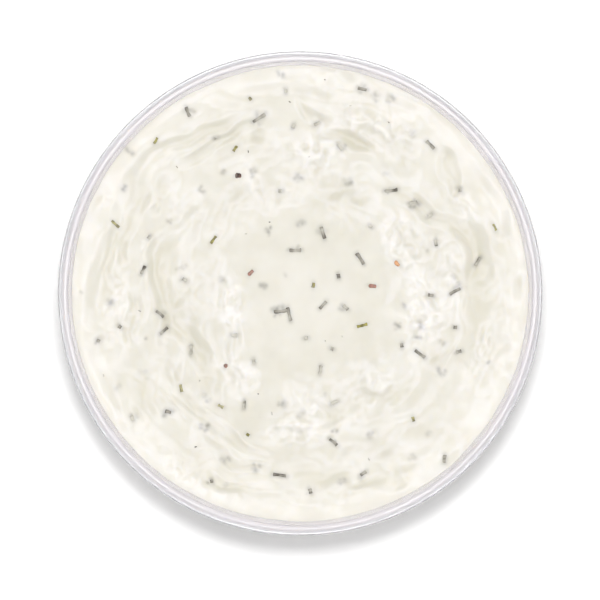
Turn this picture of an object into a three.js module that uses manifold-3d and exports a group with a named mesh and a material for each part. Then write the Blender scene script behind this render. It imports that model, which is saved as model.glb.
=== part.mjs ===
// A round clear plastic deli tub, filled with tzatziki nearly to its rim.
// Two solids: the tub, a thin turned shell with a foot, a stacking shoulder and a rolled rim, and the
// dip in it, a white cream whose face a spoon has swirled, with slivers of dill and vegetable on it.
// Millimetres, +Z up. The origin is the middle of the underside, on the surface the tub stands on.

import * as THREE from "three";
import { mergeVertices } from "three/addons/utils/BufferGeometryUtils.js";
import Module from "manifold-3d";

const wasm = await Module();
wasm.setup();

// ---- Driving dimensions of the tub ----
const RIM_RADIUS = 58.5; // outside of the rolled rim
const HEIGHT = 46;
const WALL = 0.6; // thickness of the plastic
const FOOT_RADIUS = 46.6; // outside of the foot, where the wall starts
const FOOT_WIDTH = 3.2; // of the ring that the tub stands on
const FOOT_RECESS = 1.1; // how far the middle of the underside is raised
const SHOULDER_HEIGHT = 35; // where the wall steps out, so that stacked tubs don't jam
const SHOULDER_RADIUS = 53.4; // outside of the wall under the shoulder
const COLLAR_HEIGHT = 36.8; // where the shoulder ends
const COLLAR_RADIUS = 55.3; // outside of the wall over the shoulder
const BEAD_HEIGHT = 43.6; // of the small step under the rim, which holds a lid
const BEAD_RADIUS = 56.55; // outside of the wall under that step
const BEAD_STEP = 0.12; // how far the wall steps out there
const LIP_RADIUS = 57.4; // outside of the wall under the rolled rim
const SKIRT_DROP = 3.4; // how far the rim's outside hangs below its crown
const SKIRT_WALL = 0.5; // thickness of that hanging part
const SEGMENTS = 72; // round the tub and round the dip's side

// Bends of the tub's profile: how far each point lies outwards of a radius, and over a height.
const FLOOR_BEND = [[-2.2, 0], [-0.9, 0.5], [-0.35, 1.6]]; // from the foot's radius and the floor
const FOOT_BEND = [[0.2, 1.9], [-0.25, 0.6], [-1, 0]]; // from the foot's radius and the ground
const RECESS_SLOPE = 0.9; // width of the slope between the foot and the raised middle
const SHOULDER_BEND = [[0, -0.5]];
const COLLAR_BEND_IN = [[-0.45, -0.6], [0, 0.3]]; // on the inside of the collar, and on its outside
const COLLAR_BEND_OUT = [[0, 0], [-0.45, -1]];
const BEAD_BEND_IN = [[0, -0.3], [BEAD_STEP, 0.3]];
const BEAD_BEND_OUT = [[BEAD_STEP, 0.1], [0, -0.5]];
const LIP_BEND_IN = [[0, -1.2], [0.3, -0.4]]; // from the lip's radius and the tub's height
const LIP_BEND_OUT = [[0.35, -0.75], [0, -1.5]];
const CROWN_BEND = [[-0.6, 0], [-0.22, -0.06], [-0.03, -0.35], [0, -0.9]]; // from the rim's radius
const SKIRT_BEND = [[0, -SKIRT_DROP], [-SKIRT_WALL, -SKIRT_DROP], [-SKIRT_WALL, -1.2]];

// ---- Driving dimensions of the dip ----
const DIP_LEVEL = 37.5; // the smooth middle of the dip
const DIP_RISE = 0.9; // how much higher the dip is towards the wall
const CLIMB = 1.1; // and how much it climbs close to the wall besides
const DIP_EDGE = 54.9; // radius where the dip's face meets the wall
const FACE_RINGS = 45; // rings of points on the dip's face
const FACE_STRETCH = 3; // spacing of the points along those rings, coarser than across the marks
const FEWEST_POINTS = 6; // in a ring
const CLEARANCE = 0.3; // between the dip and the tub
const RISE_FROM = 0.5; // share of the radius at which the face starts to rise, and to climb
const CLIMB_FROM = 0.87;
const CLIMB_SWING = 0.35; // how unevenly it climbs round the tub, and in how many lobes
const CLIMB_LOBES = [3, 5];
const CROWN_HEIGHT = 0.25; // of the smooth bulge in the middle
const CROWN_RADIUS = 14;

// Broad waves, small lumps, and streaks that follow the spoon round. fade is where they start and are
// full, by radius. Three numbers of along or across are a wave's length, its bend, and the bend's length.
const WAVES = { height: 0.2, fade: [8, 24], along: [6.3, 1.1, 8.1], across: 7.2, shift: 0.6 };
const LUMPS = { height: 0.12, fade: [12, 26], along: [2.9, 1.7, 3.7], across: [3.1, 1.3, 4.3] };
const STREAK_PATH = { width: 1.25, drift: [2.4, 2, 11], turns: 6, swing: [1.9, 5.5] };
const STREAKS = { height: 0.13, fade: [16, 30], ...STREAK_PATH };

// How far the marks stray from clean arcs, and the waves that they stray by.
const SHAKES = [
  { reach: 1, aside: [3.6, 1.3, 5.1], up: [3.9, 1.1, 4.7] },
  { reach: 0.35, aside: [1.5, 1.4, 2.3], up: [1.6, 1.2, 2.1] },
];
const MARK_FADE = 0.3; // share of a mark's length over which it rises from nothing at each end
const WIDTH_SWING = 0.2; // how unevenly wide a mark is along its length, and how high or deep
const WIDTH_WAVES = 8;
const SWELL_LEVEL = 0.95;
const SWELL_SWING = 0.25;
const SWELL_WAVES = 11;
const TROUGH_SHARPNESS = 1.6; // of a groove's cross section

// Marks of the spoon in the dip's face. Each runs along an arc: its angle at both ends (degrees
// counterclockwise from +X), the radius of its middle line at even steps between them, its width, and
// its depth or height.
const GROOVES = [
  { angles: [150, 236], radii: [35.5, 34, 32.4, 27.6, 29.5], width: 7.4, height: 0.8 },
  { angles: [203, 222], radii: [45.5, 46.5], width: 6, height: 0.4 },
  { angles: [260, 292], radii: [43.5, 44.5], width: 7, height: 0.6 },
  { angles: [-56, -86], radii: [30.8, 29], width: 5.5, height: 0.6 },
  { angles: [-30, -58], radii: [33.4, 32], width: 5, height: 0.5 },
  { angles: [58, -28], radii: [31, 32.6, 36.4, 41.6, 43.9, 43.4, 42, 40], width: 7.6, height: 0.75 },
  { angles: [114, 100], radii: [38.5, 38], width: 4.5, height: 0.45 },
  { angles: [138, 177], radii: [47.4, 46.2, 43.8, 42.2], width: 5, height: 0.6 },
  { angles: [154, 182], radii: [46.8, 46.2], width: 4.4, height: 0.5 },
  { angles: [174, 198], radii: [40.6, 41.8], width: 4.6, height: 0.55 },
  { angles: [139, 105], radii: [48.4, 46.4, 44.6], width: 3.6, height: 0.5 },
  { angles: [138, 104], radii: [41.4, 42.8, 42.4], width: 4, height: 0.55 },
  { angles: [138, 154], radii: [41.4, 41.8], width: 4, height: 0.5 },
  { angles: [84, 58], radii: [40, 38, 38.4], width: 4.4, height: 1.1 },
  { angles: [93, 81], radii: [45.4, 43], width: 3.8, height: 0.5 },
  { angles: [49, 30], radii: [48.4, 45.6], width: 3.6, height: 0.65 },
  { angles: [281, 302], radii: [48.4, 51.6], width: 3.4, height: 0.6 },
  { angles: [235, 260], radii: [48.2, 50.2], width: 4.2, height: 0.6 },
  { angles: [236, 266], radii: [41.8, 44.6], width: 4.4, height: 0.6 },
  { angles: [209, 239], radii: [36.4, 37, 38.4], width: 4.6, height: 0.55 },
  { angles: [235, 259], radii: [36.4, 39.8], width: 4, height: 0.55 },
  { angles: [-6, -32], radii: [37.2, 38.4], width: 4.4, height: 0.35 },
];
const RIDGES = [
  { angles: [144, 244], radii: [18.5, 17.5, 19, 23], width: 8, height: 0.6 },
  { angles: [152, 204], radii: [37.8, 37, 37.4], width: 5, height: 0.45 },
  { angles: [136, 110], radii: [45, 44.8, 44], width: 3.6, height: 0.35 },
  { angles: [178, 120], radii: [50.4, 51], width: 5, height: 0.3 },
  { angles: [90, 54], radii: [44.8, 44.2, 43.6], width: 7, height: 0.6 },
  { angles: [96, 78], radii: [34.2, 35], width: 6, height: 0.6 },
  { angles: [24, -12], radii: [39.4, 40.2, 39], width: 4, height: 0.3 },
  { angles: [46, 4], radii: [26, 27.5, 28], width: 7, height: 0.7 },
  { angles: [10, -30], radii: [28.5, 30, 32], width: 7, height: 0.75 },
  { angles: [36, 12], radii: [46, 47.4], width: 5.4, height: 0.4 },
  { angles: [-8, -34], radii: [46.2, 45.4], width: 6, height: 0.35 },
  { angles: [-42, -64], radii: [28.6, 28], width: 6, height: 0.6 },
  { angles: [252, 286], radii: [31.4, 33], width: 6, height: 0.6 },
  { angles: [212, 244], radii: [40.6, 41.4], width: 5, height: 0.4 },
  { angles: [292, 330], radii: [40.6, 40], width: 7, height: 0.45 },
];

// The slivers that catch the eye: kind, x, y, length, and turn counterclockwise from +X in degrees.
const MAIN_SLIVERS = [
  ["dill", -4.7, -4.2, 3.4, 8], // these two cross, as a sprig
  ["dill", -2.7, -5, 3.4, -76],
  ["dill", -10, 42.5, 3.5, 33],
  ["dill", 14.5, 8.4, 3.2, -57],
  ["dill", 5.5, 14.7, 3, -72],
  ["dill", 5.5, -2.8, 2.4, 48],
  ["dill", 22, 25, 3.2, 8],
  ["dill", 29, -14.6, 3, -37],
  ["dill", 37.5, 0.5, 2.9, 30],
  ["dill", 43, 7.7, 2.4, 57],
  ["dill", -1.2, 10.5, 2.9, 0],
  ["dill", 31.5, 36, 2.7, -45],
  ["dill", 15, 49.5, 2.2, -12],
  ["dill", -38, 5.7, 2.2, 65],
  ["dill", -34, -5, 2.4, -40],
  ["dill", -33, -9, 2.4, 42],
  ["dill", -32, -28.7, 1.5, -15],
  ["dill", -5, -44, 3.2, -8],
  ["dill", 8, -36, 2.4, -40],
  ["dill", 35, -40, 1.9, 83],
  ["stem", 15, -7.7, 2.6, 15],
  ["stem", -21, 13, 2.2, 55],
  ["stem", -35, 37, 1.7, 60],
  ["stem", 47, 16, 1.7, -65],
  ["carrot", 23.5, 7.3, 1.6, -50],
  ["pepper", 17.5, 1.8, 1.9, -5],
  ["pepper", -12, 5, 1.7, 45],
  ["peppercorn", -15, 28.5, 1.5, 0],
  ["pepper", -18, -17.5, 1, 70],
];
const SCATTERED = 42; // more of them, by the rule in scatteredSlivers
const SCATTER_SEED = 20417;
const SCATTER_SPACING = 4.5; // nearest that a scattered sliver lies to another
const SCATTER_MARGIN = 3; // nearest that it lies to the wall
const SCATTER_LENGTH = [0.8, 2.5]; // shortest and longest of them
const DILL_SHARE = 0.88; // of the scattered slivers, the rest is stem
const SLIVER_WIDTH = { dill: 0.95, stem: 0.8, carrot: 1.25, pepper: 1.1, peppercorn: 1.4 };
const SLIVER_THICKNESS = 0.7;
const SLIVER_BURIED = 0.55; // share of a sliver's thickness that is in the dip
const SLIVER_SIDES = 5;
const SLIVER_TAPER = 0.76; // width of its thin end as a share of the other
const RANDOM_FACTOR = 48271; // of the rule that draws the random numbers
const RANDOM_RANGE = 2147483647;
const MERGE_DISTANCE = 1e-4; // points that lie nearer are one
const SHARPEST_MITER = 0.5; // cosine of half the sharpest turn that an offset profile follows fully

// ---- Small helpers ----
const radians = THREE.MathUtils.degToRad;
const smooth = (from, to, x) => THREE.MathUtils.smoothstep(x, from, to);

// A profile of [radius, height] points, moved by distance to the left of its own direction.
function offsetProfile(profile, distance) {
  const normal = ([r0, z0], [r1, z1]) => new THREE.Vector2(z0 - z1, r1 - r0).normalize();
  return profile.map((point, i) => {
    const before = i > 0 ? normal(profile[i - 1], point) : normal(point, profile[i + 1]);
    const after = i < profile.length - 1 ? normal(point, profile[i + 1]) : before;
    const miter = before.clone().add(after).normalize();
    const reach = distance / Math.max(miter.dot(before), SHARPEST_MITER);
    return [point[0] + miter.x * reach, point[1] + miter.y * reach];
  });
}

// The radius at which a profile that rises from point to point passes a height.
function radiusAt(profile, height) {
  const i = Math.max(1, profile.findIndex(([, z]) => z >= height));
  const [r0, z0] = profile[i - 1];
  const [r1, z1] = profile[i];
  return r0 + ((r1 - r0) * (height - z0)) / (z1 - z0);
}

// ---- The tub ----
const bend = (radius, height, points) => points.map(([outward, up]) => [radius + outward, height + up]);

// The inside, from the middle of the floor up to the crown of the rim.
const FLOOR = FOOT_RECESS + WALL;
const INSIDE = [
  [0, FLOOR],
  ...bend(FOOT_RADIUS, FLOOR, FLOOR_BEND),
  [SHOULDER_RADIUS - WALL, SHOULDER_HEIGHT],
  ...bend(COLLAR_RADIUS - WALL, COLLAR_HEIGHT, COLLAR_BEND_IN),
  ...bend(BEAD_RADIUS - WALL, BEAD_HEIGHT, BEAD_BEND_IN),
  ...bend(LIP_RADIUS - WALL, HEIGHT, LIP_BEND_IN),
];

// From the crown over the rolled rim, down the outside and under the foot to the middle.
const OUTSIDE = [
  ...bend(RIM_RADIUS, HEIGHT, CROWN_BEND),
  ...bend(RIM_RADIUS, HEIGHT, SKIRT_BEND),
  ...bend(LIP_RADIUS, HEIGHT, LIP_BEND_OUT),
  ...bend(BEAD_RADIUS, BEAD_HEIGHT, BEAD_BEND_OUT),
  ...bend(COLLAR_RADIUS, COLLAR_HEIGHT, COLLAR_BEND_OUT),
  ...bend(SHOULDER_RADIUS, SHOULDER_HEIGHT, SHOULDER_BEND),
  ...bend(FOOT_RADIUS, 0, FOOT_BEND),
  [FOOT_RADIUS - FOOT_WIDTH, 0],
  [FOOT_RADIUS - FOOT_WIDTH - RECESS_SLOPE, FOOT_RECESS],
  [0, FOOT_RECESS],
];

function tubGeometry() {
  const profile = [...INSIDE, ...OUTSIDE].reverse();
  const points = profile.map(([r, z]) => new THREE.Vector2(r, z));
  return new THREE.LatheGeometry(points, SEGMENTS).rotateX(Math.PI / 2);
}

// ---- The dip's face ----
// Cross sections of a ridge and of a groove, from 1 in its middle to 0 at its border.
const ridgeSection = (across) => (1 + Math.cos(Math.PI * across)) / 2;
const grooveSection = (across) => (1 - across) ** TROUGH_SHARPNESS * (1 + TROUGH_SHARPNESS * across);

// How high or deep one mark of the spoon is at a radius and an angle in degrees.
function markHeight({ angles: [start, end], radii, width, height }, section, radius, angle) {
  const fromMiddle = THREE.MathUtils.euclideanModulo(angle - (start + end) / 2 + 180, 360) - 180;
  const along = THREE.MathUtils.clamp(fromMiddle / (end - start) + 0.5, 0, 1);
  const place = along * (radii.length - 1);
  const step = Math.min(Math.floor(place), radii.length - 2);
  const middle = THREE.MathUtils.lerp(radii[step], radii[step + 1], place - step);
  const halfWidth = (width / 2) * (1 + WIDTH_SWING * Math.sin(WIDTH_WAVES * along + 2 * start));
  const across = Math.min(Math.abs(radius - middle) / halfWidth, 1);
  const swell = SWELL_LEVEL + SWELL_SWING * Math.sin(SWELL_WAVES * along + start);
  const ends = smooth(0, MARK_FADE, along) * smooth(0, MARK_FADE, 1 - along);
  return height * swell * section(across) * ends;
}

// How far along a wave a place is, in radians. Its crests lie across a and wander along b.
const bent = (a, b, [length, bend, bendLength]) => a / length + bend * Math.sin(b / bendLength);

// What all marks of the spoon add at a point, which is shifted a little to and fro first, so that no
// mark is a clean arc.
function marksHeight(x, y) {
  const shifted = (start, wave) => SHAKES.reduce((sum, shake) => sum + shake.reach * wave(shake), start);
  const aside = shifted(x, (shake) => Math.sin(bent(y, x, shake.aside)));
  const up = shifted(y, (shake) => Math.sin(bent(x, y, shake.up)));
  const [radius, angle] = [Math.hypot(aside, up), THREE.MathUtils.radToDeg(Math.atan2(up, aside))];
  const total = (marks, section) =>
    marks.reduce((sum, mark) => sum + markHeight(mark, section, radius, angle), 0);
  return total(RIDGES, ridgeSection) - total(GROOVES, grooveSection);
}

// Small unevenness: waves, lumps, and streaks that follow the spoon round. The middle stays smooth.
function unevenness(x, y, radius, turn) {
  const waves = Math.sin(bent(x, y, WAVES.along)) * Math.cos(y / WAVES.across + WAVES.shift);
  const lumps = Math.sin(bent(x, y, LUMPS.along)) * Math.cos(bent(y, x, LUMPS.across));
  const [drift, driftTurns, driftLength] = STREAKS.drift;
  const [swing, swingLength] = STREAKS.swing;
  const streaks =
    Math.sin(radius / STREAKS.width + drift * Math.sin(driftTurns * turn + radius / driftLength)) *
    Math.cos(STREAKS.turns * turn + swing * Math.sin(radius / swingLength));
  return (
    WAVES.height * waves * smooth(...WAVES.fade, radius) +
    LUMPS.height * lumps * smooth(...LUMPS.fade, radius) +
    STREAKS.height * streaks * smooth(...STREAKS.fade, radius)
  );
}

// Height of the dip's face at a point.
function faceHeight(x, y) {
  const radius = Math.hypot(x, y);
  const turn = Math.atan2(y, x);
  const share = radius / DIP_EDGE;
  const lobes = Math.sin(CLIMB_LOBES[0] * turn + 1) * Math.cos(CLIMB_LOBES[1] * turn);
  const climb = CLIMB * (1 + CLIMB_SWING * lobes);
  const rise = DIP_RISE * smooth(RISE_FROM, 1, share) + climb * smooth(CLIMB_FROM, 1, share);
  const crown = CROWN_HEIGHT * Math.exp(-((radius / CROWN_RADIUS) ** 2));
  return DIP_LEVEL + rise + crown + unevenness(x, y, radius, turn) + marksHeight(x, y);
}

// ---- The dip's body ----
// A ring of points, one for each of count equal angles, where at(angle) gives [radius, height].
function ring(count, at) {
  return Array.from({ length: count }, (_, i) => {
    const angle = (2 * Math.PI * i) / count;
    const [radius, height] = at(angle);
    return [radius * Math.cos(angle), radius * Math.sin(angle), height];
  });
}

// A closed geometry from rings of any counts, each joined to the next. A ring of one point is a pole.
function geometryFromRings(rings) {
  const positions = rings.flat(2);
  const index = [];
  let inner = 0;
  for (let n = 1; n < rings.length; n++) {
    const outer = inner + rings[n - 1].length;
    const [a, b] = [rings[n - 1].length, rings[n].length];
    const [stepsA, stepsB] = [a > 1 ? a : 0, b > 1 ? b : 0];
    for (let i = 0, j = 0; i < stepsA || j < stepsB; ) {
      const here = inner + (i % a);
      const there = outer + (j % b);
      if (j < stepsB && (i >= stepsA || (j + 1) * a <= (i + 1) * b)) {
        j += 1;
        index.push(here, there, outer + (j % b));
      } else {
        i += 1;
        index.push(here, there, inner + (i % a));
      }
    }
    inner = outer;
  }
  const geometry = new THREE.BufferGeometry();
  geometry.setAttribute("position", new THREE.Float32BufferAttribute(positions, 3));
  geometry.setIndex(index);
  return geometry;
}

// The dip's side keeps a clearance to the inside of the tub, from the floor up to the bead.
const belowBead = INSIDE.filter(([radius, height]) => radius > 0 && height < BEAD_HEIGHT);
const SIDE = offsetProfile(belowBead, CLEARANCE);

function dipGeometry() {
  const edge = (angle) => {
    const height = faceHeight(DIP_EDGE * Math.cos(angle), DIP_EDGE * Math.sin(angle));
    return radiusAt(SIDE, height);
  };
  const face = (share) => (angle) => {
    const radius = share * edge(angle);
    return [radius, faceHeight(radius * Math.cos(angle), radius * Math.sin(angle))];
  };
  const rings = [[[0, 0, faceHeight(0, 0)]]];
  for (let n = 1; n <= FACE_RINGS; n++) {
    const share = n / FACE_RINGS;
    const count = Math.max(FEWEST_POINTS, Math.round((2 * Math.PI * DIP_EDGE * share) / FACE_STRETCH));
    rings.push(ring(count, face(share)));
  }
  const side = SIDE.filter(([, z]) => z < DIP_LEVEL).reverse();
  side.forEach(([radius, height]) => rings.push(ring(SEGMENTS, () => [radius, height])));
  rings.push([[0, 0, SIDE[0][1]]]);
  return geometryFromRings(rings);
}

// ---- Slivers of dill and vegetable ----
// Numbers from 0 to 1 that are the same on every run.
function* randomNumbers(seed) {
  for (let state = seed; ; ) {
    state = (state * RANDOM_FACTOR) % RANDOM_RANGE;
    yield state / RANDOM_RANGE;
  }
}

// Slivers spread evenly over the face, none near another.
function scatteredSlivers() {
  const numbers = randomNumbers(SCATTER_SEED);
  const next = () => numbers.next().value;
  const found = [];
  while (found.length < SCATTERED) {
    const radius = (DIP_EDGE - SCATTER_MARGIN) * Math.sqrt(next());
    const angle = 2 * Math.PI * next();
    const [x, y] = [radius * Math.cos(angle), radius * Math.sin(angle)];
    const length = THREE.MathUtils.lerp(...SCATTER_LENGTH, next() ** 2);
    const turn = 360 * next();
    const kind = next() < DILL_SHARE ? "dill" : "stem";
    const near = ([, x1, y1]) => Math.hypot(x - x1, y - y1) < SCATTER_SPACING;
    if (![...MAIN_SLIVERS, ...found].some(near)) found.push([kind, x, y, length, turn]);
  }
  return found;
}

// A sliver that lies along the face and follows its slope.
function sliverGeometry([kind, x, y, length, turn]) {
  const [dx, dy] = [Math.cos(radians(turn)) / 2, Math.sin(radians(turn)) / 2].map((d) => d * length);
  const [tail, head] = [faceHeight(x - dx, y - dy), faceHeight(x + dx, y + dy)];
  const middle = (tail + head) / 2 + (0.5 - SLIVER_BURIED) * SLIVER_THICKNESS;
  return new THREE.CylinderGeometry(SLIVER_TAPER / 2, 1 / 2, 1, SLIVER_SIDES)
    .rotateZ(-Math.PI / 2)
    .scale(length, SLIVER_WIDTH[kind], SLIVER_THICKNESS)
    .rotateY(-Math.atan2(head - tail, length))
    .rotateZ(radians(turn))
    .translate(x, y, middle);
}

// ---- Joining ----
function toSolid(geometry) {
  const bare = geometry.clone();
  Object.keys(bare.attributes).forEach((name) => name !== "position" && bare.deleteAttribute(name));
  const merged = mergeVertices(bare, MERGE_DISTANCE);
  return new wasm.Manifold(
    new wasm.Mesh({
      numProp: 3,
      vertProperties: merged.attributes.position.array,
      triVerts: new Uint32Array(merged.index.array),
    }),
  );
}

function toGeometry(solid) {
  const mesh = solid.getMesh();
  const geometry = new THREE.BufferGeometry();
  geometry.setAttribute("position", new THREE.BufferAttribute(mesh.vertProperties, 3));
  geometry.setIndex(new THREE.BufferAttribute(mesh.triVerts, 1));
  geometry.computeVertexNormals();
  return geometry;
}

function dipWithSlivers() {
  const slivers = [...MAIN_SLIVERS, ...scatteredSlivers()];
  return slivers.reduce(
    (solid, sliver) => solid.add(toSolid(sliverGeometry(sliver))),
    toSolid(dipGeometry()),
  );
}

// ---- Materials and the model ----
const clearPlastic = new THREE.MeshStandardMaterial({
  color: 0xf5f2f6,
  roughness: 0.18,
  metalness: 0,
  transparent: true,
  opacity: 0.35,
});
const cream = new THREE.MeshStandardMaterial({ color: 0xf4f1e6, roughness: 0.28, metalness: 0 });

function named(name, geometry, material) {
  const mesh = new THREE.Mesh(geometry, material);
  mesh.name = name;
  return mesh;
}

const tzatzikiTub = new THREE.Group();
tzatzikiTub.add(named("tub", tubGeometry(), clearPlastic));
tzatzikiTub.add(named("dip", toGeometry(dipWithSlivers()), cream));

export default tzatzikiTub;
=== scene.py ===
"""A clear deli tub of tzatziki, seen straight from above.

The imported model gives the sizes. This script makes the fine surfaces round it: the moulded clear tub,
the spoon-swirled cream, the slivers of dill and vegetable in it, and the light. Metres, +Z up.
"""

import math

import bpy
import numpy as np
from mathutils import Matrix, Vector, noise


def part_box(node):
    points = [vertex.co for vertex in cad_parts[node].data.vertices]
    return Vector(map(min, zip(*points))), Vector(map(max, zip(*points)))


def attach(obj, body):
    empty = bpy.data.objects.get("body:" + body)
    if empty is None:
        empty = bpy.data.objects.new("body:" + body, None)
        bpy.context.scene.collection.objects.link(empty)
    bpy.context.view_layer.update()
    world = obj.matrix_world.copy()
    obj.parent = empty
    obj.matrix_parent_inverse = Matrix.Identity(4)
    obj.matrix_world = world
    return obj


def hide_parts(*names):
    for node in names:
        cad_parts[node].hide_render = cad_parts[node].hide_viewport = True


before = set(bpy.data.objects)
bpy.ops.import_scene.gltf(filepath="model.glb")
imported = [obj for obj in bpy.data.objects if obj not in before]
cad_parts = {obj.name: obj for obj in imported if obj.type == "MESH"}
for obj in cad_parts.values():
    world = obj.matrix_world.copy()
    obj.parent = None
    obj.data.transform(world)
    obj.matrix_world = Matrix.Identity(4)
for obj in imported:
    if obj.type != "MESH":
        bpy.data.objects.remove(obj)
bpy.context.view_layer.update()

MM = 0.001

# ---- The tub's sizes ----
TUB_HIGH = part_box("tub")[1]
RIM_RADIUS = TUB_HIGH[0]
HEIGHT = TUB_HIGH[2]
WALL = 0.6 * MM  # thickness of the plastic
FOOT_RADIUS = RIM_RADIUS - 11.9 * MM
FOOT_WIDTH = 3.2 * MM  # of the ring that the tub stands on
FOOT_RECESS = 1.1 * MM  # how far the middle of the underside is raised
RECESS_SLOPE = 0.9 * MM  # width of the slope up to it
SHOULDER_HEIGHT = 35 * MM
SHOULDER_RADIUS = RIM_RADIUS - 5.1 * MM
COLLAR_HEIGHT = 36.8 * MM
COLLAR_RADIUS = RIM_RADIUS - 3.2 * MM
BEAD_HEIGHT = 43.6 * MM  # of the small step under the rim
BEAD_RADIUS = RIM_RADIUS - 1.95 * MM
LIP_RADIUS = RIM_RADIUS - 1.1 * MM
RIM_SHADE_FADE = (LIP_RADIUS - 0.4 * MM, RIM_RADIUS - 0.35 * MM)  # radii between which the rim's roll is painted grey: painted shade for the dark line along its edge
TUB_SEGMENTS = 480

# Bends of the tub's profile, in millimetres and as in the solid: how far each point lies outwards of a
# radius, and over a height.
BEAD_STEP = 0.12
SKIRT_DROP = 3.4  # how far the rim's outside hangs below its crown
SKIRT_WALL = 0.5  # thickness of that hanging part
FLOOR_BEND = [(-2.2, 0), (-0.9, 0.5), (-0.35, 1.6)]  # from the foot's radius and the floor
FOOT_BEND = [(0.2, 1.9), (-0.25, 0.6), (-1, 0)]  # from the foot's radius and the ground
SHOULDER_BEND = [(0, -0.5)]
COLLAR_BEND_IN = [(-0.45, -0.6), (0, 0.3)]  # on the inside of the collar, and on its outside
COLLAR_BEND_OUT = [(0, 0), (-0.45, -1)]
BEAD_BEND_IN = [(0, -0.3), (BEAD_STEP, 0.3)]
BEAD_BEND_OUT = [(BEAD_STEP, 0.1), (0, -0.5)]
LIP_BEND_IN = [(0, -1.2), (0.3, -0.4)]  # from the lip's radius and the tub's height
LIP_BEND_OUT = [(0.35, -0.75), (0, -1.5)]
CROWN_BEND = [(-0.6, 0), (-0.22, -0.06), (-0.03, -0.35), (0, -0.9)]  # from the rim's radius
SKIRT_BEND = [(0, -SKIRT_DROP), (-SKIRT_WALL, -SKIRT_DROP), (-SKIRT_WALL, -1.2)]

# Rounding of the profile's corners: how far from a corner it starts, which share of the stretch to the
# next corner it may take, and its steps.
CORNER_REACH = 0.4 * MM
CORNER_SHARE = 0.45
CORNER_STEPS = 3

# ---- The dip's sizes ----
DIP_LEVEL = 37.5 * MM
DIP_RISE = 0.9 * MM  # how much higher the cream is at its edge than in the middle
CLIMB = 1.1 * MM  # and how much it climbs close to the wall besides
DIP_EDGE = 54.9 * MM
INTO_WALL = 0.12 * MM  # how far the cream reaches into the plastic, so that no air shows between
INTO_FLOOR = 0.02 * MM  # and into the tub's floor
FACE_RINGS = 175
RING_GROWTH = 6  # how many more points each ring of the face has than the one inside it
SIDE_POINTS = RING_GROWTH * FACE_RINGS  # in a ring round the dip's side

# Relief of the dip's face, as in the solid. Lengths are in millimetres here and in the lists below.
CROWN_HEIGHT = 0.25  # of the smooth bulge in the middle
CROWN_RADIUS = 14
RISE_FROM = 0.5  # share of the radius at which the face starts to rise, and to climb
CLIMB_FROM = 0.87
CLIMB_SWING = 0.35  # how unevenly it climbs
CLIMB_LOBES = (3, 5)
WAVES = dict(height=0.2, fade=(8, 24), along=(6.3, 1.1, 8.1), across=7.2, shift=0.6)
LUMPS = dict(height=0.12, fade=(12, 26), along=(2.9, 1.7, 3.7), across=(3.1, 1.3, 4.3))
STREAKS = dict(height=0.13, fade=(16, 30), width=1.25, drift=(2.4, 2, 11), turns=6, swing=(1.9, 5.5))
# How far the marks stray from clean arcs, and the waves that they stray by.
SHAKES = [
    dict(reach=1, aside=(3.6, 1.3, 5.1), up=(3.9, 1.1, 4.7)),
    dict(reach=0.35, aside=(1.5, 1.4, 2.3), up=(1.6, 1.2, 2.1)),
]
MARK_FADE = 0.3  # share of a mark's length over which it rises from nothing at each end
WIDTH_SWING = 0.2  # how unevenly wide a mark is along its length, and how high or deep
WIDTH_WAVES = 8
SWELL_LEVEL = 0.95
SWELL_SWING = 0.25
SWELL_WAVES = 11
TROUGH_SHARPNESS = 1.6  # of a groove's cross section

# Finer relief, which only this model has. Lumps have a height, a size and a number that picks their
# pattern. Rolls follow the spoon round, and have a height, a width and a number that makes them shorter
# the larger it is.
PULLED_LUMPS = (1, 2.1, 1.5)
PULLED_PITS = (0.2, 1.0, 8.5)
PULLED_SHARE = 1.5  # of the height that a glossy patch gives
ROLLS = (1, 4.6, 5)
FINE_ROLLS = (0.2, 2.1, 9)
BROAD_ROLLS = (0.9, 9.5, 3)
LOOSE_LUMPS = (0.4, 3.1, 6.5)
ROLLS_SHARE = 0.8
ROLLS_FADE = (15, 27)  # radii between which the rolls start and are full
CALM_LEVEL = 0.8  # how strong the rolls are on average, and how that changes from place to place
CALM_LUMPS = (1.1, 11, 4.5)

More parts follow.
